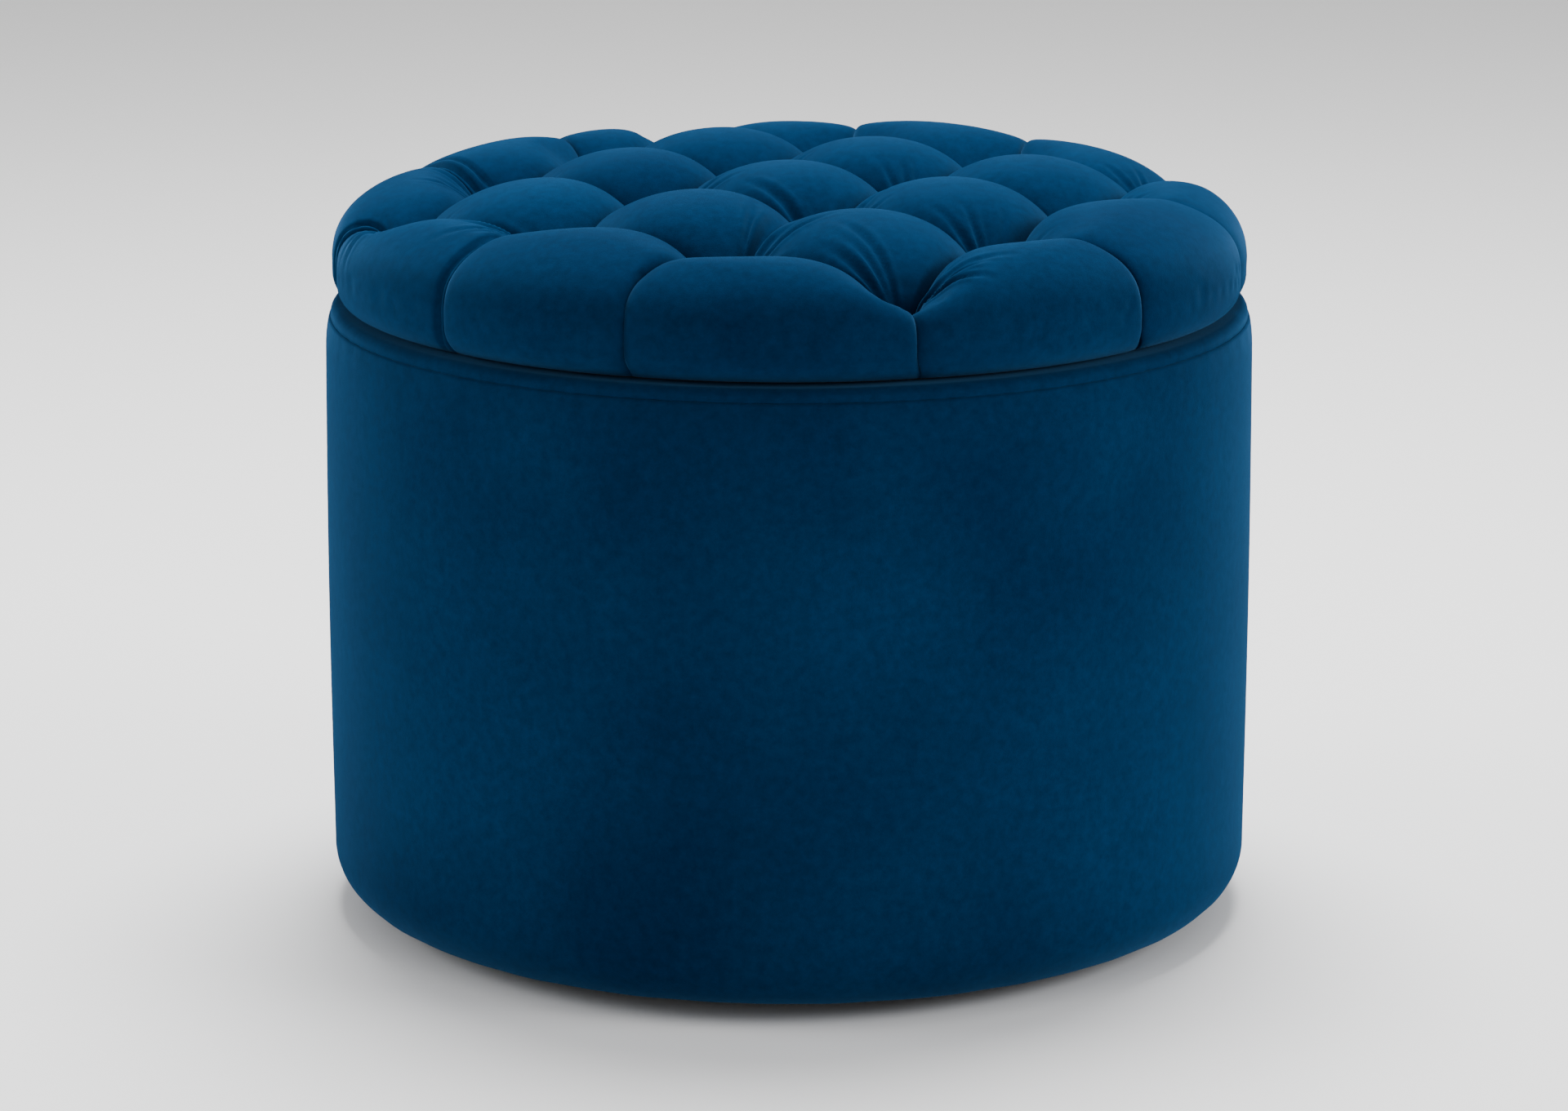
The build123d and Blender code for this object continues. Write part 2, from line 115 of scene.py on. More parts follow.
# depth of the channel beside the lip of an outer pleat; the others have UNDERCUT
UNDERCUT = 3.0
DEEP_UNDERCUTS = {(3, 1): 6.5, (3, 2): 5.5, (1, 0): 4.0, (0, 0): 6.0}
# distances of the extra pleats that run beside some outer pleats
EXTRA_PLEATS = {(0, 0): (7, 14), (1, 0): (8,), (0, 1): (7, 15), (3, 3): (9,)}
EXTRA_DEPTH = 4.2
EXTRA_WIDTH = 1.5
# fans of gathers at the pits: first and last direction, how many gathers, and their reach
FANS = {
    (0, 0): [(120, 200, 5, 48)],
    (1, 0): [(152, 205, 7, 62)],
    (2, 0): [(20, 78, 7, 60)],
    (3, 0): [(108, 148, 5, 66), (0, 64, 7, 52)],
    (0, 1): [(120, 190, 5, 50)],
    (1, 1): [(20, 70, 4, 42)],
    (2, 1): [(15, 75, 4, 46), (125, 150, 3, 50)],
    (3, 1): [(60, 120, 5, 40), (135, 155, 3, 56)],
    (1, 2): [(30, 80, 4, 36)],
    (2, 2): [(60, 120, 4, 36)],
    (3, 2): [(20, 60, 4, 40)],
    (3, 3): [(100, 170, 5, 44)],
}
FINE_GATHERS = 10               # fine gathers in any direction at every pit
GATHER_WIDTH = 1.0              # width of a gather where it leaves its pit
GATHER_SPREAD = 0.024           # how much wider it becomes with each millimetre
RIDGE = 0.45                    # height of the ridges beside a gather, as a share of its depth
RIDGE_ASIDE = 2.1               # distance of those ridges from it, in its widths
GATHER_LIMIT = 6.5              # deepest that crossing gathers may go

PADDING_INSET = 8.0             # padding under the velvet
PADDING_STEPS = 10              # grid steps by which it also keeps off the sides of pleats and pits
PADDING_HOLE = 60.0             # depth of the hole in it round each button
PADDING_HOLE_RADIUS = 12.0
PADDING_HOLE_WALL = 14.0
BOARD_GAP = 0.5                 # air between the padding and the lid's board
FACING_UP = 0.3                 # least upward part of a direction that leads down to the board

SKIN_STEPS = 72                 # grid steps across a lobe
CLOTH_STEPS = 28                # grid steps across a lobe in the cloth simulation
HELD_EDGE = 14.0                # height above the lid's widest place over which the cloth comes free
DISC_COUNT = 256                # points round the flat cloths


# ---------------------------------------------------------------- mesh helpers
def new_object(name, points, faces, material=None):
    """A smooth-shaded mesh object from points in millimetres and lists of point numbers."""
    mesh = bpy.data.meshes.new(name)
    mesh.from_pydata((np.asarray(points) * MM).tolist(), [], faces)
    mesh.polygons.foreach_set("use_smooth", [True] * len(mesh.polygons))
    if material:
        mesh.materials.append(material)
    mesh.update()
    thing = bpy.data.objects.new(name, mesh)
    bpy.context.scene.collection.objects.link(thing)
    return thing


def make_piece(name, points, faces, body, slot):
    """A mesh piece that rides on a body and takes a material slot's finish."""
    piece = new_object(name, points, faces, MATERIALS[slot])
    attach(piece, body)
    return piece


def grid_faces(rows, columns, wrap=False):
    """Quads of a rows x columns grid of points, closed round the columns if wrap."""
    r, c = np.meshgrid(np.arange(rows - 1), np.arange(columns if wrap else columns - 1), indexing="ij")
    r, c = r.ravel(), c.ravel()
    n = (c + 1) % columns
    return np.column_stack([r * columns + c, r * columns + n, (r + 1) * columns + n, (r + 1) * columns + c])


def weld(patches):
    """One mesh from grids of (keys, points): points with the same key become one, at their mean.

    Returns its points, its faces, and the number in it of every point of the grids.
    """
    keys, points, faces, start = [], [], [], 0
    for key, grid in patches:
        rows, columns = grid.shape[:2]
        keys.append(key.reshape(-1, key.shape[-1]))
        points.append(grid.reshape(-1, 3))
        faces.append(grid_faces(rows, columns) + start)
        start += rows * columns
    keys = np.round(np.concatenate(keys), 2)
    _, index = np.unique(keys, axis=0, return_inverse=True)
    index = index.ravel()
    total = np.zeros((index.max() + 1, 3))
    count = np.zeros(index.max() + 1)
    np.add.at(total, index, np.concatenate(points))
    np.add.at(count, index, 1)
    return total / count[:, None], index[np.concatenate(faces)], index


def smooth(x):
    """Smoothstep from 0 to 1."""
    x = np.clip(x, 0, 1)
    return x * x * (3 - 2 * x)


def bell(x, width):
    """Rounded bump of height 1 at x = 0."""
    return np.exp(-(x / width) ** 2)


def unit(vector):
    """A vector, or an array of them, at length 1."""
    return vector / np.maximum(np.linalg.norm(vector, axis=-1, keepdims=True), 1e-9)


def angle_of(count):
    """A row of even angles once round the object."""
    return np.linspace(0, 2 * math.pi, count, endpoint=False)[None, :]


def waves(rng, angle, counts, size):
    """Sum of sines round the object, with random phases, of the given wave counts."""
    total = np.zeros_like(angle)
    for count in counts:
        total += rng.uniform(0.4, 1.0) * np.sin(count * angle + rng.uniform(0, 2 * math.pi))
    return size * total / len(counts)


# ---------------------------------------------------------------- the lid's base shape
def lid_profile():
    """Arc length, radius, height and outward normal from the crown to the velvet turned under."""
    turn = np.linspace(math.pi / 2, 0, 1500)
    r = LID_RADIUS * np.cos(turn) ** (2 / DOME_POWER)
    z = LID_WIDEST_Z + (LID_CREST_Z - LID_WIDEST_Z) * np.sin(turn) ** (2 / DOME_POWER)
    r[0] = 0
    edge = LID_WIDEST_Z - LID_LOW_Z
    turn = np.linspace(0, -math.pi / 2, 200)[1:]
    r = np.concatenate([r, LID_RADIUS - edge + edge * np.cos(turn)])
    z = np.concatenate([z, LID_WIDEST_Z + edge * np.sin(turn)])
    under = np.linspace(r[-1], LID_BOARD_RADIUS - TURNED_UNDER, 40)[1:]
    r = np.concatenate([r, under])
    z = np.concatenate([z, np.full_like(under, LID_LOW_Z)])
    step = np.hypot(np.diff(r), np.diff(z))
    length = np.concatenate([[0], np.cumsum(step)])
    even = np.linspace(0, length[-1], 1400)
    r = np.interp(even, length, r)
    z = np.interp(even, length, z)
    dr, dz = np.gradient(r), np.gradient(z)
    size = np.hypot(dr, dz)
    return even, r, z, -dz / size, dr / size


PROFILE = lid_profile()


def find_underside():
    """Arc length at which the velvet's rounded edge meets its flat underside."""
    length, radius, height = PROFILE[:3]
    underneath = height <= LID_LOW_Z + 1
    inner_radius = LID_RADIUS - (LID_WIDEST_Z - LID_LOW_Z)
    return length[underneath][np.argmin(np.abs(radius[underneath] - inner_radius))]


UNDER_START = find_underside()


def on_profile(length, column):
    """A column of the profile at given arc lengths."""
    return np.interp(length, PROFILE[0], PROFILE[column])


def length_at(radius):
    """Arc length at which the upper side of the lid has a radius."""
    upper = np.argmax(PROFILE[1])
    return np.interp(radius, PROFILE[1][:upper], PROFILE[0][:upper])


def base_point(flat):
    """Point and push direction of the lid's base shape at unrolled plan coordinates."""
    length = np.hypot(flat[..., 0], flat[..., 1])
    away = flat / np.maximum(length, 1e-6)[..., None]
    radius = on_profile(length, 1)
    point = np.concatenate([away * radius[..., None], on_profile(length, 2)[..., None]], axis=-1)
    normal_r, normal_z = on_profile(length, 3), on_profile(length, 4)
    side = smooth((radius - SHOULDER_RADIUS) / SHOULDER_BLEND)
    normal_r = normal_r * side
    normal_z = normal_z * side + (1 - side)
    size = np.hypot(normal_r, normal_z)
    push = np.concatenate([away * (normal_r / size)[..., None], (normal_z / size)[..., None]], axis=-1)
    return point, push


def unrolled(x, y):
    """Unrolled plan coordinates of a point on the lid given by its true plan coordinates."""
    radius = math.hypot(x, y)
    return np.array([x, y]) * length_at(radius) / radius


def tuft_places():
    """True plan coordinates of the square grid of buttons."""
    turn = math.radians(TUFT_TURN)
    middle = (TUFT_COUNT - 1) / 2
    places = {}
    for column in range(TUFT_COUNT):
        for row in range(TUFT_COUNT):
            along, across = (column - middle) * TUFT_PITCH, (row - middle) * TUFT_PITCH
            x = TUFT_CENTRE[0] + along * math.cos(turn) - across * math.sin(turn)
            y = TUFT_CENTRE[1] + along * math.sin(turn) + across * math.cos(turn)
            places[column, row] = (x, y)
    return places


PITS = {key: unrolled(*place) for key, place in tuft_places().items()}


def pit_depth(key):
    """Depth of a pit's floor below the lid's base shape."""
    point, push = base_point(PITS[key])
    return (point[2] - PIT_Z) / push[2]


# ---------------------------------------------------------------- the tufted surface
def pillow(t, sharp=0.3, crease_power=16):
    """0 at the middle of a lobe and 1 in the pleat: a broad swell with a narrow crease at its edge."""
    t = np.clip(np.abs(t), 0, 1)
    broad = 1 - (1 - t ** 2.0) ** 0.62
    narrow = 1 - (1 - t ** crease_power) ** 0.5
    return (1 - sharp) * broad + sharp * narrow


def pull(distance):
    """How strongly a pit pulls a pleat down at a distance along it."""
    return np.exp(-(np.abs(distance) / PIT_REACH) ** 1.25)


def spread(count):
    """Values from -1 to 1, closer together towards both ends."""
    t = np.linspace(-1, 1, count + 1)
    return 0.35 * t + 0.65 * np.sin(math.pi * t / 2)


def from_pit(flat, pit):
    """Distance of unrolled coordinates from a pit."""
    return np.hypot(flat[..., 0] - pit[0], flat[..., 1] - pit[1])


def lean(distance, strength):
    """Sideways shift of a fold's points towards and over its pleat, nothing in the pleat itself."""
    near = distance / LIP_WIDTH
    return LIP * strength * near * np.exp(1 - near)


def edge_depth(s, first, last):
    """Depth along a pleat between two neighbouring pits; s runs from -1 to 1."""
    near = pull((s + 1) * TUFT_PITCH / 2)
    far = pull((1 - s) * TUFT_PITCH / 2)
    return CREASE + (pit_depth(first) - CREASE) * near + (pit_depth(last) - CREASE) * far


def inner_patch(column, row, count):
    """One square lobe: its unrolled coordinates without and with the folds' lean, and its depth."""
    corners = [(column, row), (column + 1, row), (column + 1, row + 1), (column, row + 1)]
    q = [PITS[c] for c in corners]
    a = spread(count)[:, None]
    b = spread(count)[None, :]
    u, v = (a + 1) / 2, (b + 1) / 2
    flat = (
        ((1 - u) * (1 - v))[..., None] * q[0] + (u * (1 - v))[..., None] * q[1]
        + (u * v)[..., None] * q[2] + ((1 - u) * v)[..., None] * q[3]
    )
    deep = [pit_depth(c) for c in corners]
    left = edge_depth(b, corners[0], corners[3])
    right = edge_depth(b, corners[1], corners[2])
    front = edge_depth(a, corners[0], corners[1])
    back = edge_depth(a, corners[3], corners[2])
    side_a = np.where(a < 0, left, right)
    side_b = np.where(b < 0, front, back)
    corner = np.where(a < 0, np.where(b < 0, deep[0], deep[3]), np.where(b < 0, deep[1], deep[2]))
    across_a = pillow(a, sharp=0.36, crease_power=20)
    front_b = pillow(b, sharp=0.42, crease_power=9)
    back_b = pillow(b, sharp=0.36, crease_power=20)
    across_b = np.where(b < 0, front_b, back_b)
    depth = across_a * side_a + across_b * side_b - across_a * across_b * corner
    depth = depth + INNER_DROP * (1 - across_a) * (1 - across_b)
    across, along = unit(q[1] - q[0]), unit(q[3] - q[0])
    fold_a = lean(u * TUFT_PITCH, 1 - 0.6 * b ** 2) * (1 - np.abs(b) ** 8)
    fold_b = lean((1 - v) * TUFT_PITCH, 1 - 0.6 * a ** 2) * (1 - np.abs(a) ** 8)
    placed = flat - fold_a[..., None] * across + fold_b[..., None] * along
    return flat, placed, depth


def pleat_path(key, lengths):
    """Azimuth, in radians, of an outer pleat at given arc lengths from the crown."""
    pit = PITS[key]
    start = math.atan2(pit[0], -pit[1])
    end = math.radians(PLEAT_AZIMUTHS[key])
    end += 2 * math.pi * round((start - end) / (2 * math.pi))
    begin = math.hypot(*pit)
    side = length_at(PLEAT_END * LID_RADIUS)
    return start + (end - start) * np.sin(0.5 * math.pi * np.clip((lengths - begin) / (side - begin), 0, 1))


def side_depth(key, lengths):
    """Depth of an outer pleat at given arc lengths from the crown."""
    gone = lengths - math.hypot(*PITS[key])
    shoulder = SIDE_CREASE + (CREASE - SIDE_CREASE) * bell(gone, SIDE_CREASE_REACH)
    return shoulder + (pit_depth(key) - shoulder) * pull(gone)


def coons(u, t, bottom, left, right, top_left, top_right):
    """Coons blend of a patch's edges, of which the top one runs evenly from corner to corner."""
    top = (1 - u) * top_left + u * top_right
    ruled = (1 - u) * left + u * right
    corners = (1 - t) * ((1 - u) * left[..., :1] + u * right[..., :1]) + t * top
    return (1 - t) * bottom + t * top + ruled - corners


def outer_plan(first, last, u, t):
    """Arc length and azimuth over an outer lobe, then the arc lengths of its inner edge and two sides."""
    end = PROFILE[0][-1]
    start_left, start_right = math.hypot(*PITS[first]), math.hypot(*PITS[last])
    left_len = start_left + (end - start_left) * t
    right_len = start_right + (end - start_right) * t
    left_az = pleat_path(first, left_len)
    right_az = pleat_path(last, right_len)
    right_az = right_az + 2 * math.pi * round((left_az.flat[0] - right_az.flat[0]) / (2 * math.pi))
    if right_az.flat[0] < left_az.flat[0]:
        right_az = right_az + 2 * math.pi
    inner = (1 - u)[..., None] * PITS[first] + u[..., None] * PITS[last]
    inner_len = np.hypot(inner[..., 0], inner[..., 1])
    inner_az = np.arctan2(inner[..., 0], -inner[..., 1])
    middle = (left_az.flat[0] + right_az.flat[0]) / 2
    inner_az = inner_az + 2 * math.pi * np.round((middle - inner_az) / (2 * math.pi))
    length = coons(u, t, inner_len, left_len, right_len, end, end)
    azimuth = coons(u, t, inner_az, left_az, right_az, left_az.flat[-1], right_az.flat[-1])
    return length, azimuth, inner_len, left_len, right_len


def outer_patch(index, count, rows):
    """One lobe between the outer pits and the turned-under edge of the lid, as inner_patch gives it."""
    ring = list(PLEAT_AZIMUTHS)
    first, last = ring[index], ring[(index + 1) % len(ring)]
    s = spread(count)[:, None]
    u = (s + 1) / 2
    even = np.linspace(0, 1, rows + 1)
    t = (0.45 * even + 0.55 * (1 - np.cos(math.pi * even / 2)))[None, :]
    length, azimuth, inner_len, left_len, right_len = outer_plan(first, last, u, t)
    flat = np.stack([length * np.sin(azimuth), -length * np.cos(azimuth)], axis=-1)

    # the lobe's own swell: rounded at its inner edge, and sharper beside its pleats further out
    away = length - inner_len
    across = pillow(1 - away / INNER_REACH) * (away < INNER_REACH)
    sides = np.where(s < 0, side_depth(first, left_len), side_depth(last, right_len))
    corner = np.where(s < 0, pit_depth(first), pit_depth(last))
    beside_pleat = pillow(s, sharp=0.15 + 0.6 * smooth(away / 60), crease_power=24)
    depth = beside_pleat * sides + across * edge_depth(s, first, last) - beside_pleat * across * corner

    # the channel and the extra pleats beside its last pleat
    width = np.linalg.norm(flat[-1] - flat[0], axis=-1)[None, :]
    to_last = (1 - u) * width
    undercut = DEEP_UNDERCUTS.get(last, UNDERCUT)
    depth = depth + undercut * bell(to_last, 1.5 + 0.6 * undercut) * smooth(away / 25)
    for distance in EXTRA_PLEATS.get(last, ()):
        depth = depth + EXTRA_DEPTH * bell(to_last - distance, EXTRA_WIDTH) * smooth(away / 30)

    # the fold that leans over its first pleat
    fade = smooth((UNDER_START - length) / UNDER_FADE)
    overlap = lean(u * width, OUTER_LIP) * (1 - across ** 4) * fade
    tangent = unit(np.stack([np.cos(azimuth), np.sin(azimuth)], axis=-1))
    return flat, flat - overlap[..., None] * tangent, depth * fade


def wells(flat, depth):
    """Adds the pinch and the round well that holds a button at every pit."""
    for key, pit in PITS.items():
        away = from_pit(flat, pit)
        deep = pit_depth(key)
        depth = np.minimum(depth + PINCH * bell(away, PINCH_REACH), np.maximum(depth, deep))
        hold = 1 - smooth((away - WELL_FLOOR) / WELL_WALL)
        depth = depth + (deep - depth) * hold
    return depth


def gather_lines(rng):
    """Fine gathers that fan out of the pits: (pit, direction, reach, depth, bend)."""
    lines = []
    for key in PITS:
        for first, last, count, reach in FANS.get(key, []):
            for direction in np.linspace(first, last, count):
                length = reach * rng.uniform(0.75, 1.2)
                heading = direction + rng.uniform(-4, 4)
                depth = rng.uniform(2.8, 4.0)
                lines.append((key, heading, length, depth, rng.uniform(-8, 8)))
        for _ in range(FINE_GATHERS):
            heading = rng.uniform(0, 360)
            length = rng.uniform(14, 36)
            depth = rng.uniform(1.0, 1.9)
            lines.append((key, heading, length, depth, rng.uniform(-15, 15)))
    return lines


def gathers(flat, lines):
    """Depth of all the gathers at unrolled coordinates: narrow grooves with a low ridge on both sides."""
    depth = np.zeros(flat.shape[:2])
    for key, direction, reach, size, bend in lines:
        offset = flat - PITS[key]
        away = np.hypot(offset[..., 0], offset[..., 1])
        near = away < 2.2 * reach
        if not near.any():
            continue
        heading = np.arctan2(offset[..., 1], offset[..., 0]) - math.radians(direction)
        heading = (heading - np.radians(bend) * away / reach + math.pi) % (2 * math.pi) - math.pi
        along = away * np.cos(heading)
        aside = away * np.sin(heading)
        width = GATHER_WIDTH + GATHER_SPREAD * np.maximum(along, 0)
        fade = smooth((along - 3) / 8) * (1 - smooth((along - 0.35 * reach) / reach))
        groove = bell(aside, width) - RIDGE * bell(np.abs(aside) - RIDGE_ASIDE * width, width)
        depth += np.where(near, size * groove * fade, 0)
    return GATHER_LIMIT * np.tanh(depth / GATHER_LIMIT)


def raise_patch(flat, depth):
    """The lid's surface at a depth below its base shape; the walls of each button's well stay parallel."""
    point, push = base_point(flat)
    for pit in PITS.values():
        near = bell(from_pit(flat, pit), WELL_REACH)[..., None]
        push = (1 - near) * push + near * base_point(pit)[1]
    return point - unit(push) * depth[..., None]


def deepest_nearby(depth, steps):
    """Greatest depth within some grid steps of each point of a patch."""
    for axis in (0, 1):
        margin = [(steps, steps) if side == axis else (0, 0) for side in (0, 1)]
        padded = np.pad(depth, margin, mode="edge")
        depth = np.lib.stride_tricks.sliding_window_view(padded, 2 * steps + 1, axis=axis).max(axis=-1)
    return depth


def padding_depth(flat, placed, depth):
    """Depth of the padding under the velvet, with a hole down to the board round each button."""
    deep = deepest_nearby(depth, PADDING_STEPS) + PADDING_INSET
    for pit in PITS.values():
        hole = 1 - smooth((from_pit(flat, pit) - PADDING_HOLE_RADIUS) / PADDING_HOLE_WALL)
        deep = deep + PADDING_HOLE * hole
    point, push = base_point(placed)
    faces_up = push[..., 2] > FACING_UP
    to_board = (point[..., 2] - LID_BOARD_Z - BOARD_GAP) / np.where(faces_up, push[..., 2], 1)
    return np.where(faces_up, np.minimum(deep, to_board), deep)


def lid_patches(count):
    """Every lobe of the lid: its unrolled coordinates without and with the folds' lean, and its depth."""
    found = []
    for column in range(TUFT_COUNT - 1):
        for row in range(TUFT_COUNT - 1):
            found.append(inner_patch(column, row, count))
    for index in range(len(PLEAT_AZIMUTHS)):
        found.append(outer_patch(index, count, int(count * 1.25)))
    return [(flat, placed, wells(flat, depth)) for flat, placed, depth in found]


# ---------------------------------------------------------------- cloth
def cubic_weights(coarse, fine):
    """Matrix that takes samples on coarse + 1 even steps to fine + 1 even steps, by Catmull-Rom curves."""
    matrix = np.zeros((fine + 1, coarse + 1))
    for row in range(fine + 1):
        x = row * coarse / fine
        cell = min(int(x), coarse - 1)
        f = x - cell
        weights = (
            -0.5 * f + f * f - 0.5 * f ** 3, 1 - 2.5 * f * f + 1.5 * f ** 3,
            0.5 * f + 2 * f * f - 1.5 * f ** 3, -0.5 * f * f + 0.5 * f ** 3,
        )
        for offset, weight in zip((-1, 0, 1, 2), weights):
            matrix[row, min(max(cell + offset, 0), coarse)] += weight
    return matrix


def refine(field, rows, columns):
    """A patch's vector field on a finer grid."""
    a = cubic_weights(field.shape[0] - 1, rows - 1)
    b = cubic_weights(field.shape[1] - 1, columns - 1)
    return np.einsum("ri,ijk,cj->rck", a, field, b)


def swell(points, faces, held, pressure, growth, frames, cap):
    """Runs Blender's cloth on a skin blown out from inside, and returns how far each point moved.

    Points are held by weights from 0 to 1, and none moves further than cap.
    """
    skin = new_object("swelling", points, faces.tolist())
    group = skin.vertex_groups.new(name="held")
    for weight in np.unique(np.round(held, 2)):
        if weight > 0:
            group.add(np.nonzero(np.round(held, 2) == weight)[0].tolist(), float(weight), "REPLACE")
    cloth = skin.modifiers.new("cloth", "CLOTH")
    settings = cloth.settings
    settings.quality = 4
    settings.mass = 0.2
    settings.tension_stiffness = 12
    settings.compression_stiffness = 12
    settings.shear_stiffness = 4
    settings.bending_stiffness = 3.0
    settings.use_pressure = True
    settings.uniform_pressure_force = pressure
    settings.shrink_min = -growth
    settings.vertex_group_mass = "held"
    settings.pin_stiffness = 1.0
    settings.effector_weights.gravity = 0
    cloth.collision_settings.use_collision = False
    cloth.point_cache.frame_start = 1
    cloth.point_cache.frame_end = frames
    scene = bpy.context.scene
    for number in range(1, frames + 1):
        scene.frame_set(number)
    result = skin.evaluated_get(bpy.context.evaluated_depsgraph_get()).data
    after = np.zeros(len(points) * 3)
    result.vertices.foreach_get("co", after)
    moved = after.reshape(-1, 3) / MM - points
    size = np.linalg.norm(moved, axis=1)
    moved *= (cap * np.tanh(size / cap) / np.maximum(size, 1e-9))[:, None]
    scene.frame_set(1)
    bpy.data.objects.remove(skin)
    return moved


def lid_swelling(count):
    """How far cloth simulation moves each point of every lobe on a grid of count steps."""
    grids = [(flat, raise_patch(flat, depth)) for flat, _, depth in lid_patches(count)]
    points, faces, index = weld(grids)
    sizes = [grid.shape[0] * grid.shape[1] for _, grid in grids]
    numbers = np.split(index, np.cumsum(sizes)[:-1])
    held = np.zeros(len(points))
    for (_, grid), here in zip(grids, numbers):
        rows, columns = grid.shape[:2]
        r = np.minimum(np.arange(rows), np.arange(rows)[::-1])[:, None]
        c = np.minimum(np.arange(columns), np.arange(columns)[::-1])[None, :]
        edge = np.minimum(r, c)
        low_edge = 1 - smooth((grid[..., 2] - LID_WIDEST_Z) / HELD_EDGE)
        weight = np.maximum(np.select([edge == 0, edge == 1], [1.0, 0.5], 0.0), low_edge)
        np.maximum.at(held, here, weight.ravel())
    moved = swell(points, faces, held, pressure=3.2, growth=0.006, frames=16, cap=5.0)
    return [moved[here].reshape(grid.shape) for (_, grid), here in zip(grids, numbers)]


# ---------------------------------------------------------------- materials
def new_material(name, color, roughness, sheen=0.0, sheen_tint=(1, 1, 1), specular=0.5, metallic=0.0):
    """Principled material, returned with its node tree and its shader."""
    material = bpy.data.materials.new(name)
    material.use_nodes = True
    tree = material.node_tree
    shader = tree.nodes["Principled BSDF"]
    shader.inputs["Base Color"].default_value = (*color, 1)
    shader.inputs["Roughness"].default_value = roughness
    shader.inputs["Metallic"].default_value = metallic
    shader.inputs["Specular IOR Level"].default_value = specular
    shader.inputs["Sheen Weight"].default_value = sheen
    shader.inputs["Sheen Roughness"].default_value = 0.45
    shader.inputs["Sheen Tint"].default_value = (*sheen_tint, 1)
    return material, tree, shader


def grey(value):
    """A neutral colour."""
    return (value, value, value)


def noise(tree, scale, detail=3.0, roughness=0.5, stretch=(1, 1, 1)):
    """Noise in object coordinates; stretch scales the coordinates first."""
    place = tree.nodes.new("ShaderNodeTexCoord")
    mapping = tree.nodes.new("ShaderNodeMapping")
    mapping.inputs["Scale"].default_value = stretch
    texture = tree.nodes.new("ShaderNodeTexNoise")
    texture.inputs["Scale"].default_value = scale
    texture.inputs["Detail"].default_value = detail
    texture.inputs["Roughness"].default_value = roughness
    tree.links.new(place.outputs["Object"], mapping.inputs["Vector"])
    tree.links.new(mapping.outputs["Vector"], texture.inputs["Vector"])
    return texture.outputs["Fac"]


def ramp(tree, value, stops):
    """Colour ramp over a value: stops are (position, colour)."""
    node = tree.nodes.new("ShaderNodeValToRGB")
    node.color_ramp.elements[0].position = stops[0][0]
    node.color_ramp.elements[0].color = (*stops[0][1], 1)
    node.color_ramp.elements[1].position = stops[-1][0]
    node.color_ramp.elements[1].color = (*stops[-1][1], 1)
    for position, color in stops[1:-1]:
        node.color_ramp.elements.new(position).color = (*color, 1)
    tree.links.new(value, node.inputs["Fac"])
    return node.outputs["Color"]


def mix_color(tree, mode, amount, first, second):
    """Two colours blended by a mode."""
    node = tree.nodes.new("ShaderNodeMix")
    node.data_type = "RGBA"
    node.blend_type = mode
    node.inputs["Factor"].default_value = amount
    tree.links.new(first, node.inputs["A"])
    tree.links.new(second, node.inputs["B"])
    return node.outputs["Result"]


def add_bump(tree, shader, height, strength, distance):
    """Chains one more bump onto the shader's normal."""
    bump = tree.nodes.new("ShaderNodeBump")
    bump.inputs["Strength"].default_value = strength
    bump.inputs["Distance"].default_value = distance
    tree.links.new(height, bump.inputs["Height"])
    normal = shader.inputs["Normal"]
    if normal.is_linked:
        tree.links.new(normal.links[0].from_socket, bump.inputs["Normal"])
    tree.links.new(bump.outputs["Normal"], normal)


def velvet():
    """Deep blue short pile: patchy nap, fine mottling, grain, and a pale blue sheen at grazing angles."""
    material, tree, shader = new_material(
        "velvet", (0.0, 0.017, 0.0525), 0.9, sheen=0.27, sheen_tint=(0.12, 0.305, 0.58), specular=0.0)
    nap = ramp(tree, noise(tree, 6.0, 2.0), [
        (0.32, (0.0, 0.0135, 0.044)), (0.5, (0.0, 0.017, 0.0525)), (0.7, (0.0, 0.0205, 0.062))])
    mottle = ramp(tree, noise(tree, 160.0, 5.0, 0.65), [(0.3, grey(0.74)), (0.7, grey(1.2))])
    color = mix_color(tree, "MULTIPLY", 0.8, nap, mottle)
    tree.links.new(color, shader.inputs["Base Color"])
    add_bump(tree, shader, noise(tree, 1400.0, 2.0, 0.7), 0.35, 0.0004)
    add_bump(tree, shader, noise(tree, 90.0, 4.0, 0.6), 0.10, 0.0012)
    return material


def woven(name, dark, light, threads, strength):
    """Plain weave: two crossed sets of threads, with slubs."""
    material, tree, shader = new_material(name, light, 0.88, sheen=0.15, specular=0.2)
    place = tree.nodes.new("ShaderNodeTexCoord")
    heights = []
    for direction in ("X", "Y"):
        wave = tree.nodes.new("ShaderNodeTexWave")
        wave.bands_direction = direction
        wave.inputs["Scale"].default_value = threads
        wave.inputs["Distortion"].default_value = 0.6
        wave.inputs["Detail Scale"].default_value = 4.0
        tree.links.new(place.outputs["Object"], wave.inputs["Vector"])
        heights.append(wave.outputs["Color"])
    weave = mix_color(tree, "MULTIPLY", 1.0, *heights)
    slub = ramp(tree, noise(tree, 45.0, 4.0), [(0.3, dark), (0.7, light)])
    tree.links.new(slub, shader.inputs["Base Color"])
    add_bump(tree, shader, weave, strength, 0.0003)
    add_bump(tree, shader, noise(tree, 25.0, 3.0), 0.15, 0.001)
    return material


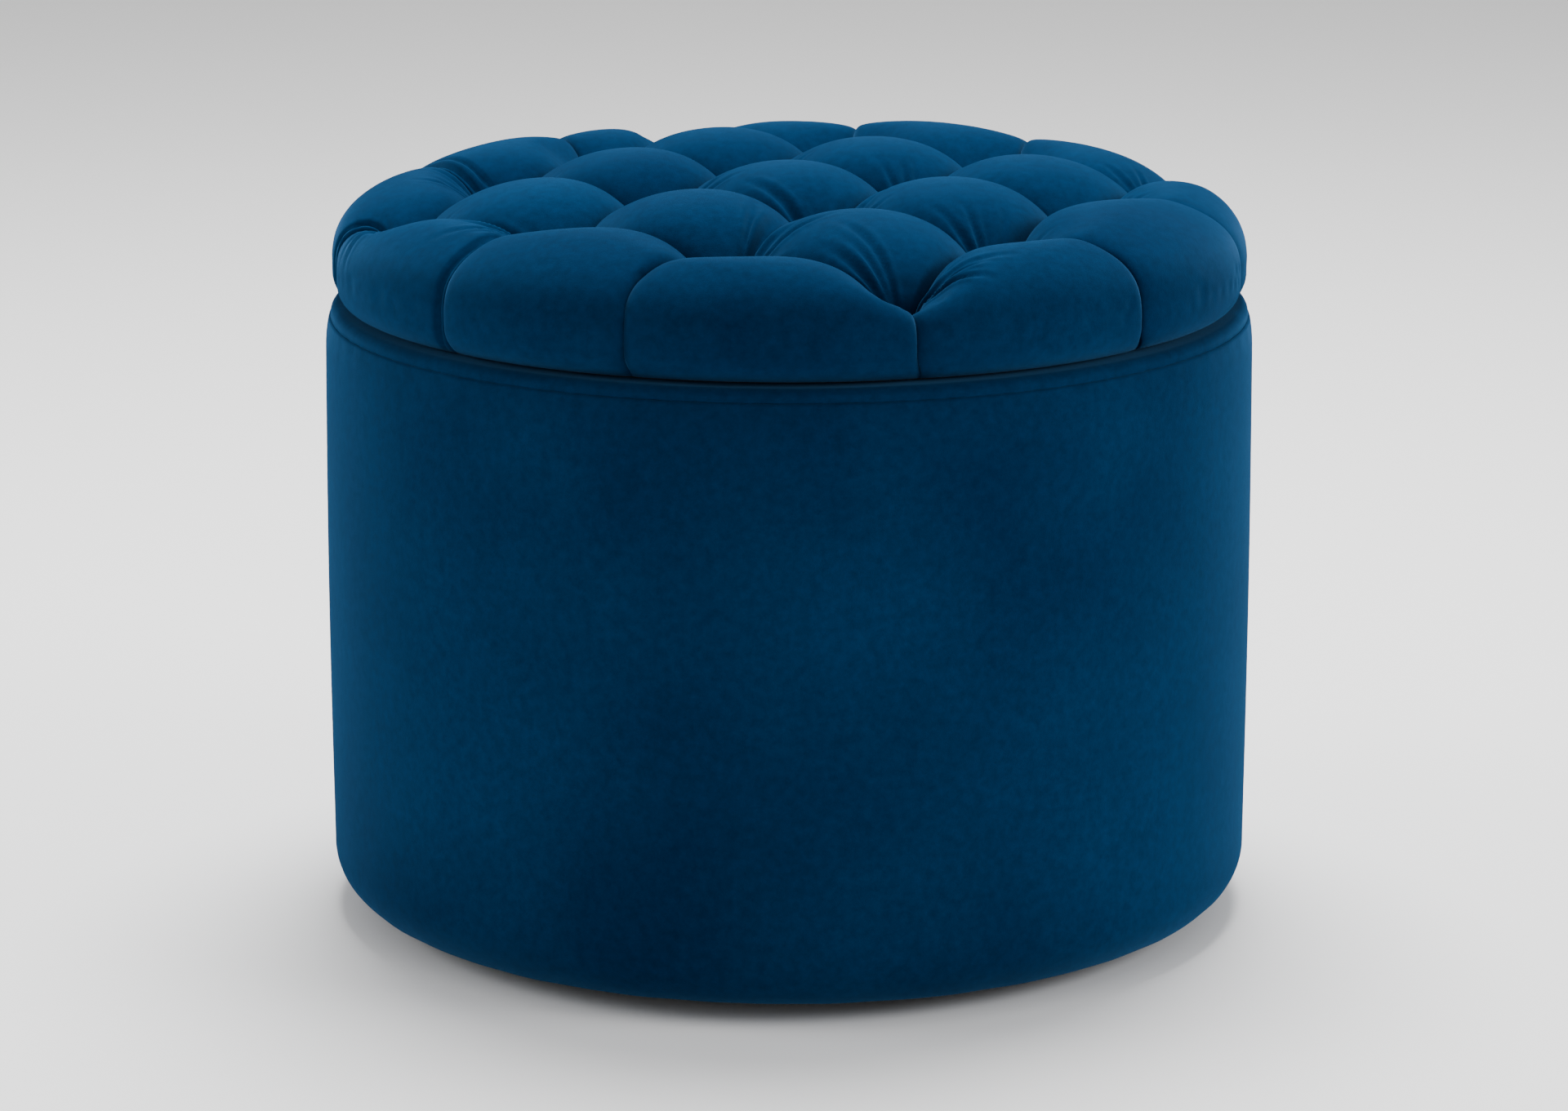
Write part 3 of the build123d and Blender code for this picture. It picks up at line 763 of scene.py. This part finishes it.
def non_woven():
    """Black dust cloth: pressed fibres with a field of small bonded dimples."""
    material, tree, shader = new_material("dust_cloth", (0.02, 0.02, 0.022), 0.8, sheen=0.2, specular=0.25)
    place = tree.nodes.new("ShaderNodeTexCoord")
    dimples = tree.nodes.new("ShaderNodeTexVoronoi")
    dimples.inputs["Scale"].default_value = 420.0
    dimples.inputs["Randomness"].default_value = 0.25
    tree.links.new(place.outputs["Object"], dimples.inputs["Vector"])
    fibre = ramp(tree, noise(tree, 240.0, 6.0, 0.8, (1, 0.2, 1)), [
        (0.3, (0.012, 0.012, 0.013)), (0.75, (0.045, 0.045, 0.048))])
    tree.links.new(fibre, shader.inputs["Base Color"])
    add_bump(tree, shader, dimples.outputs["Distance"], 0.4, 0.0004)
    return material


def foam():
    """Open-celled polyurethane, uneven in tone."""
    material, tree, shader = new_material("foam", (0.8, 0.72, 0.5), 0.95, specular=0.1)
    tone = ramp(tree, noise(tree, 60.0, 6.0, 0.7), [(0.3, (0.66, 0.56, 0.36)), (0.7, (0.86, 0.79, 0.58))])
    tree.links.new(tone, shader.inputs["Base Color"])
    add_bump(tree, shader, noise(tree, 900.0, 3.0, 0.8), 0.5, 0.0006)
    return material


def wadding():
    """Off-white polyester wadding: loose, matted fibres."""
    material, tree, shader = new_material("wadding", (0.85, 0.85, 0.83), 0.95, sheen=0.3, specular=0.1)
    tone = ramp(tree, noise(tree, 50.0, 8.0, 0.75), [(0.3, (0.68, 0.68, 0.66)), (0.7, (0.92, 0.92, 0.90))])
    tree.links.new(tone, shader.inputs["Base Color"])
    add_bump(tree, shader, noise(tree, 260.0, 8.0, 0.8), 0.7, 0.002)
    return material


def timber():
    """Sawn softwood: long growth bands and fine fibre along Z."""
    material, tree, shader = new_material("frame_timber", (0.62, 0.45, 0.28), 0.62, specular=0.3)
    bands = ramp(tree, noise(tree, 30.0, 4.0, 0.6, (1, 1, 0.06)), [
        (0.35, (0.42, 0.26, 0.13)), (0.5, (0.60, 0.42, 0.24)), (0.65, (0.70, 0.53, 0.34))])
    grain = noise(tree, 400.0, 3.0, 0.6, (1, 1, 0.03))
    fibre = ramp(tree, grain, [(0.3, grey(0.8)), (0.7, grey(1.1))])
    tree.links.new(mix_color(tree, "MULTIPLY", 1.0, bands, fibre), shader.inputs["Base Color"])
    add_bump(tree, shader, grain, 0.25, 0.0005)
    return material


def fibreboard(name, dark, light, roughness):
    """Pressed fibre: fine flecks, a little uneven in tone."""
    material, tree, shader = new_material(name, light, roughness, specular=0.3)
    flecks = ramp(tree, noise(tree, 350.0, 8.0, 0.8), [(0.3, dark), (0.7, light)])
    stain = ramp(tree, noise(tree, 9.0, 3.0), [(0.3, grey(0.85)), (0.7, grey(1.08))])
    tree.links.new(mix_color(tree, "MULTIPLY", 1.0, flecks, stain), shader.inputs["Base Color"])
    add_bump(tree, shader, noise(tree, 700.0, 4.0, 0.7), 0.2, 0.0004)
    return material


def plastic():
    """Black moulded plastic with a fine spark texture and scuffs."""
    material, tree, shader = new_material("glide_plastic", (0.018, 0.018, 0.02), 0.45, specular=0.45)
    scuff = ramp(tree, noise(tree, 120.0, 6.0, 0.75), [
        (0.4, (0.013, 0.013, 0.014)), (0.8, (0.05, 0.05, 0.052))])
    tree.links.new(scuff, shader.inputs["Base Color"])
    add_bump(tree, shader, noise(tree, 1800.0, 2.0), 0.25, 0.0002)
    return material


def steel(name, color, roughness):
    """Plated steel: drawn streaks and small dull spots."""
    material, tree, shader = new_material(name, color, roughness, metallic=1.0)
    tarnish = ramp(tree, noise(tree, 300.0, 5.0, 0.7), [
        (0.3, tuple(0.72 * c for c in color)), (0.6, color)])
    tree.links.new(tarnish, shader.inputs["Base Color"])
    streaks = ramp(tree, noise(tree, 500.0, 3.0, 0.6, (1, 1, 0.1)), [
        (0.3, grey(roughness * 0.8)), (0.7, grey(roughness * 1.4))])
    tree.links.new(streaks, shader.inputs["Roughness"])
    return material


def twine():
    """Waxed upholstery twine: pale, with twisted strands."""
    material, tree, shader = new_material("twine", (0.55, 0.5, 0.4), 0.7, sheen=0.2, specular=0.3)
    strand = ramp(tree, noise(tree, 500.0, 3.0, 0.6, (1, 1, 0.5)), [
        (0.3, (0.38, 0.33, 0.24)), (0.7, (0.64, 0.59, 0.47))])
    tree.links.new(strand, shader.inputs["Base Color"])
    add_bump(tree, shader, noise(tree, 700.0, 2.0, 0.5, (1, 1, 2)), 0.6, 0.0006)
    return material


MATERIALS = {
    "velvet": velvet(),
    "foam": foam(),
    "wadding": wadding(),
    "lining": woven("lining", (0.012, 0.0125, 0.015), (0.03, 0.031, 0.036), 320.0, 0.5),
    "dust_cloth": non_woven(),
    "twine": twine(),
    "frame_timber": timber(),
    "board": fibreboard("board", (0.40, 0.28, 0.17), (0.58, 0.45, 0.31), 0.75),
    "hardboard": fibreboard("hardboard", (0.16, 0.09, 0.05), (0.30, 0.19, 0.11), 0.6),
    "glide_plastic": plastic(),
    "zinc_steel": steel("zinc_steel", (0.62, 0.58, 0.50), 0.32),
    "staple_steel": steel("staple_steel", (0.66, 0.66, 0.68), 0.25),
}


def dress_frame():
    """Gives every CAD node the detailed material of its slot."""
    slots = {part["node"]: part["material_slot"] for part in frame["record"]["subparts"]}
    for name, node in frame["nodes"].items():
        for place in node.material_slots:
            place.material = MATERIALS[slots[name]]


# ---------------------------------------------------------------- lid pieces
def make_lid_cover(rng):
    """The tufted velvet cover, and the padding that fills it down to the board."""
    lines = gather_lines(rng)
    fields = lid_swelling(CLOTH_STEPS)
    skin, core = [], []         # patches of the velvet and of the padding
    for number, (flat, placed, depth) in enumerate(lid_patches(SKIN_STEPS)):
        moved = 0 if fields is None else refine(fields[number], *depth.shape)
        depth = depth + gathers(flat, lines)
        skin.append((flat, raise_patch(placed, depth) + moved))
        inner = raise_patch(placed, padding_depth(flat, placed, depth)) + moved
        inner[..., 2] = np.maximum(inner[..., 2], LID_BOARD_Z + BOARD_GAP)
        core.append((flat, inner))
    points, faces, _ = weld(skin)
    cover = make_piece("lid_velvet", points, faces.tolist(), "lid", "velvet")
    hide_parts("lid_cover")
    points, faces, _ = weld(core)
    padding = make_piece("lid_padding", points, faces.tolist(), "lid", "wadding")
    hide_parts("lid_foam", "lid_wadding")


# ---------------------------------------------------------------- drum pieces
def lathe_piece(name, outline, move, body, slot):
    """Revolves an outline of (radius, height) rows; move says how far each point then stands out."""
    step = np.gradient(outline, axis=0)
    size = np.maximum(np.hypot(step[:, 0], step[:, 1]), 1e-9)
    normal_r, normal_z = step[:, 1] / size, -step[:, 0] / size
    count = move.shape[1]
    angle = angle_of(count)
    radius = outline[:, :1] + move * normal_r[:, None]
    z = outline[:, 1:] + move * normal_z[:, None]
    points = np.stack([radius * np.sin(angle), -radius * np.cos(angle), z], axis=-1).reshape(-1, 3)
    faces = grid_faces(len(outline), count, wrap=True)
    return make_piece(name, points, faces.tolist(), body, slot)


def arc(centre, radius, first, last, count):
    """Outline points on an arc, angles in degrees from outward."""
    turn = np.radians(np.linspace(first, last, count))
    return np.column_stack([centre[0] + radius * np.cos(turn), centre[1] + radius * np.sin(turn)])


def line(first, last, count):
    """Outline points on a straight run, without its two ends."""
    return np.linspace(first, last, count + 2)[1:-1]


def make_drum_cover(rng):
    """Velvet round the drum: rounded and gathered at the floor, eased in to the seam under the band."""
    foot_radius = 33.0
    barrel = 0.9                # how far the wall stands out halfway up
    ease_height = 21.0
    ease_in = 2.2
    under_radius = 250.0        # how far the velvet is turned in under the drum
    side = DRUM_RADIUS - barrel
    foot = arc((side - foot_radius, DRUM_LOW_Z + foot_radius), foot_radius, -90, 0, 26)
    wall_z = np.linspace(foot[-1, 1], SEAM_Z - ease_height, 74)[1:]
    along = (wall_z - wall_z[0]) / (wall_z[-1] - wall_z[0])
    wall = np.column_stack([side + barrel * np.sin(math.pi * along), wall_z])
    ease = np.linspace(0, 1, 16)[1:]
    shoulder = np.column_stack([side - ease_in * ease ** 2.2, SEAM_Z - ease_height + ease_height * ease])
    tuck = np.array([[side - ease_in - 1.0, SEAM_Z + 0.6], [side - ease_in - 3.0, SEAM_Z + 0.8]])
    inner = (under_radius, DRUM_LOW_Z)
    outline = np.concatenate([[inner], line(inner, foot[0], 4), foot, wall, shoulder, tuck])

    angle = angle_of(720)
    slow = waves(rng, angle, (2, 3, 5), 0.5)
    slower = waves(rng, angle, (3, 4, 7), 0.45)
    puckers = waves(rng, angle, (58, 71, 83, 97), 0.5)
    gathers_low = waves(rng, angle, (19, 27, 44), 0.4)
    back = np.abs(angle - math.pi) * DRUM_RADIUS
    seam_lap = 0.35 * bell(back - 5, 3.2)
    seam_groove = 1.1 * bell(back, 1.3)
    height = outline[:, 1:]
    up = (height - DRUM_LOW_Z) / (SEAM_Z - DRUM_LOW_Z)
    move = slow * np.sin(math.pi * up) + slower * np.sin(2 * math.pi * up + 0.6)
    move = move + puckers * np.exp(-(SEAM_Z - height) / 9) * (height < SEAM_Z)
    move = move + gathers_low * bell(height - DRUM_LOW_Z - 6, 9)
    move = move + (seam_lap - seam_groove) * (height > DRUM_LOW_Z + 2) * (height < SEAM_Z - 3)
    cover = lathe_piece("drum_velvet", outline, move, "base", "velvet")
    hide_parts("side_cover")


def make_rim(rng):
    """The velvet band that wraps the rim, from its seam on the drum to its tuck inside the well."""
    seam = SEAM_Z + 0.4
    fold = 1.2                  # radius of the band's folded lower edge, and thickness of its inner edge
    roll = 6.0                  # radius of both corners of the rim
    slope = 0.2                 # how far the band leans in on its way up
    outer = BAND_RADIUS - slope
    well = WELL_RADIUS - 1.0
    well_edge = low("rim_band")[2]
    outline = np.concatenate([
        [(BAND_RADIUS - 5.0, seam + 0.2), (BAND_RADIUS - 2.0, seam)],
        arc((BAND_RADIUS - fold, seam + 1.1), fold, -80, 0, 5),
        line((BAND_RADIUS, seam + fold), (outer, RIM_Z - roll), 2),
        arc((outer - roll, RIM_Z - roll), roll, 0, 90, 12),
        line((BAND_RADIUS - roll, RIM_Z), (well + roll, RIM_Z), 22),
        arc((well + roll, RIM_Z - roll), roll, 90, 180, 12),
        line((well, RIM_Z - roll), (well, well_edge), 10),
        [(well, well_edge), (well + fold, well_edge)],
    ])
    angle = angle_of(900)
    slow = waves(rng, angle, (3, 5, 8), 0.3)
    puckers = waves(rng, angle, (61, 79, 96, 113), 0.35)
    tugs = waves(rng, angle, (36, 47, 58), 0.45)
    radius, z = outline[:, :1], outline[:, 1:]
    near_seam = np.exp(-np.abs(z - seam) / 3.0) * (radius > BAND_RADIUS - 8)
    inside = bell(radius - well, 14)
    move = np.minimum(slow * 0.6 + puckers * near_seam + tugs * inside, 0.35)
    band = lathe_piece("rim_velvet", outline, move, "base", "velvet")
    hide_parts("rim_band")


def make_well_lining(rng):
    """The cloth on the well's wall, creased along its foot, with a lap at the back."""
    bottom = low("wall_lining")[2]
    top = LINING_TOP_Z
    outer = WELL_RADIUS - 0.1
    inner = WELL_RADIUS - 1.0
    outline = np.concatenate([
        [(outer, top), (inner, top)],
        line((inner, top), (inner, bottom), 60),
        [(inner, bottom), (outer, bottom)],
    ])
    angle = angle_of(540)
    ripples = waves(rng, angle, (7, 11, 17, 23), 0.45)
    creases = waves(rng, angle, (31, 45, 52), 0.3)
    lap = 0.5 * bell(np.abs(angle - math.pi) * WELL_RADIUS, 4)
    up = (outline[:, 1:] - bottom) / (top - bottom)
    inward = ripples * np.sin(math.pi * up) + creases * bell(up, 0.12) + lap
    move = -np.clip(inward, -0.4, 0.5) * (np.abs(up - 0.5) < 0.499)
    lining = lathe_piece("well_lining", outline, move, "base", "lining")
    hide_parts("wall_lining")


def thick_disc(name, replaced, body, slot, shift):
    """A round cloth with a rolled edge in a CAD disc's place; shift(angle, radius) lifts its points."""
    radius, _, high_z = high(replaced)
    low_z = low(replaced)[2]
    roll = (high_z - low_z) / 2
    middle = 0.5                # radius of the small flat in the middle
    edge = radius - 0.4
    outline = np.concatenate([
        line((middle, low_z), (edge, low_z), 34),
        arc((radius - roll, (low_z + high_z) / 2), roll, -90, 90, 7),
        line((edge, high_z), (middle, high_z), 34),
    ])
    angle = angle_of(DISC_COUNT)
    r = outline[:, :1] * np.ones_like(angle)
    z = outline[:, 1:] + shift(angle, outline[:, :1])
    points = np.stack([r * np.sin(angle), -r * np.cos(angle), z], axis=-1).reshape(-1, 3)
    faces = grid_faces(len(outline), DISC_COUNT, wrap=True).tolist()
    bottom = list(range(DISC_COUNT))[::-1]
    top = [(len(outline) - 1) * DISC_COUNT + number for number in range(DISC_COUNT)]
    disc = make_piece(name, points, faces + [bottom, top], body, slot)
    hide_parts(replaced)


def dimpled(rng, size, start):
    """Lift of a flat cloth: waves that grow from a radius to its edge, and shallow dimples all over."""
    edge_waves = waves(rng, angle_of(DISC_COUNT), (9, 13, 21, 34), size)

    def shift(angle, radius):
        dimples = 0.25 * size * np.sin(radius / 23.0) * np.cos(3 * angle)
        return edge_waves * smooth((radius - start) / 60) + dimples

    return shift


def make_flat_cloths(rng):
    """Cloths on the well's floor, under the lid and under the drum."""
    thick_disc("well_floor_mat", "floor_lining", "base", "lining", dimpled(rng, 0.5, 150))
    thick_disc("lid_underside_cloth", "lid_lining", "lid", "lining", dimpled(rng, 0.12, 180))
    thick_disc("drum_underside_cloth", "dust_cover", "base", "dust_cloth", dimpled(rng, 0.12, 160))


# ---------------------------------------------------------------- stage
def area_light(name, place, target, size, energy):
    """A round white lamp that faces a target, in metres and watts."""
    data = bpy.data.lights.new(name, "AREA")
    data.shape = "DISK"
    data.size = size
    data.energy = energy
    lamp = bpy.data.objects.new(name, data)
    bpy.context.scene.collection.objects.link(lamp)
    lamp.location = place
    aim = np.array(target) - np.array(place)
    lamp.rotation_euler = Vector(aim).to_track_quat("-Z", "Y").to_euler()


def make_floor():
    """Pale studio floor, far wider than the picture."""
    half = 30000.0
    pale, _, _ = new_material("floor_pale", grey(0.97), 0.8, specular=0.1)
    corners = [(-half, -half, 0), (half, -half, 0), (half, half, 0), (-half, half, 0)]
    floor = new_object("floor", corners, [(0, 1, 2, 3)], pale)


def make_lights():
    """Bright surround, a large soft lamp above and behind, and a fainter one on either side."""
    world = bpy.data.worlds.new("surround")
    bpy.context.scene.world = world
    world.use_nodes = True
    background = world.node_tree.nodes["Background"]
    background.inputs["Color"].default_value = (1, 1, 1, 1)
    background.inputs["Strength"].default_value = 0.62
    area_light("top", (0.1, 0.9, 3.0), (0, 0, 0.4), 1.8, 188)
    area_light("right", (2.9, -1.0, 1.5), (0, 0, 0.25), 1.6, 52)
    area_light("left", (-3.0, 0.0, 1.4), (0, 0, 0.25), 1.6, 32)


def make_camera():
    """The photograph's viewpoint: eleven and a half drum radii in front, looking down a little."""
    radius = DRUM_RADIUS * MM
    aside, in_front, above = -0.011, 11.5, 3.55
    look_down = 13.65
    data = bpy.data.cameras.new("camera")
    data.sensor_width = 36.0
    data.lens = 124.6
    camera = bpy.data.objects.new("camera", data)
    bpy.context.scene.collection.objects.link(camera)
    camera.location = (aside * radius, -in_front * radius, above * radius)
    camera.rotation_euler = (math.radians(90 - look_down), 0, 0)
    bpy.context.scene.camera = camera


rng = np.random.default_rng(SEED)
dress_frame()
make_lid_cover(rng)
make_drum_cover(rng)
make_rim(rng)
make_well_lining(rng)
make_flat_cloths(rng)
make_floor()
make_lights()
make_camera()
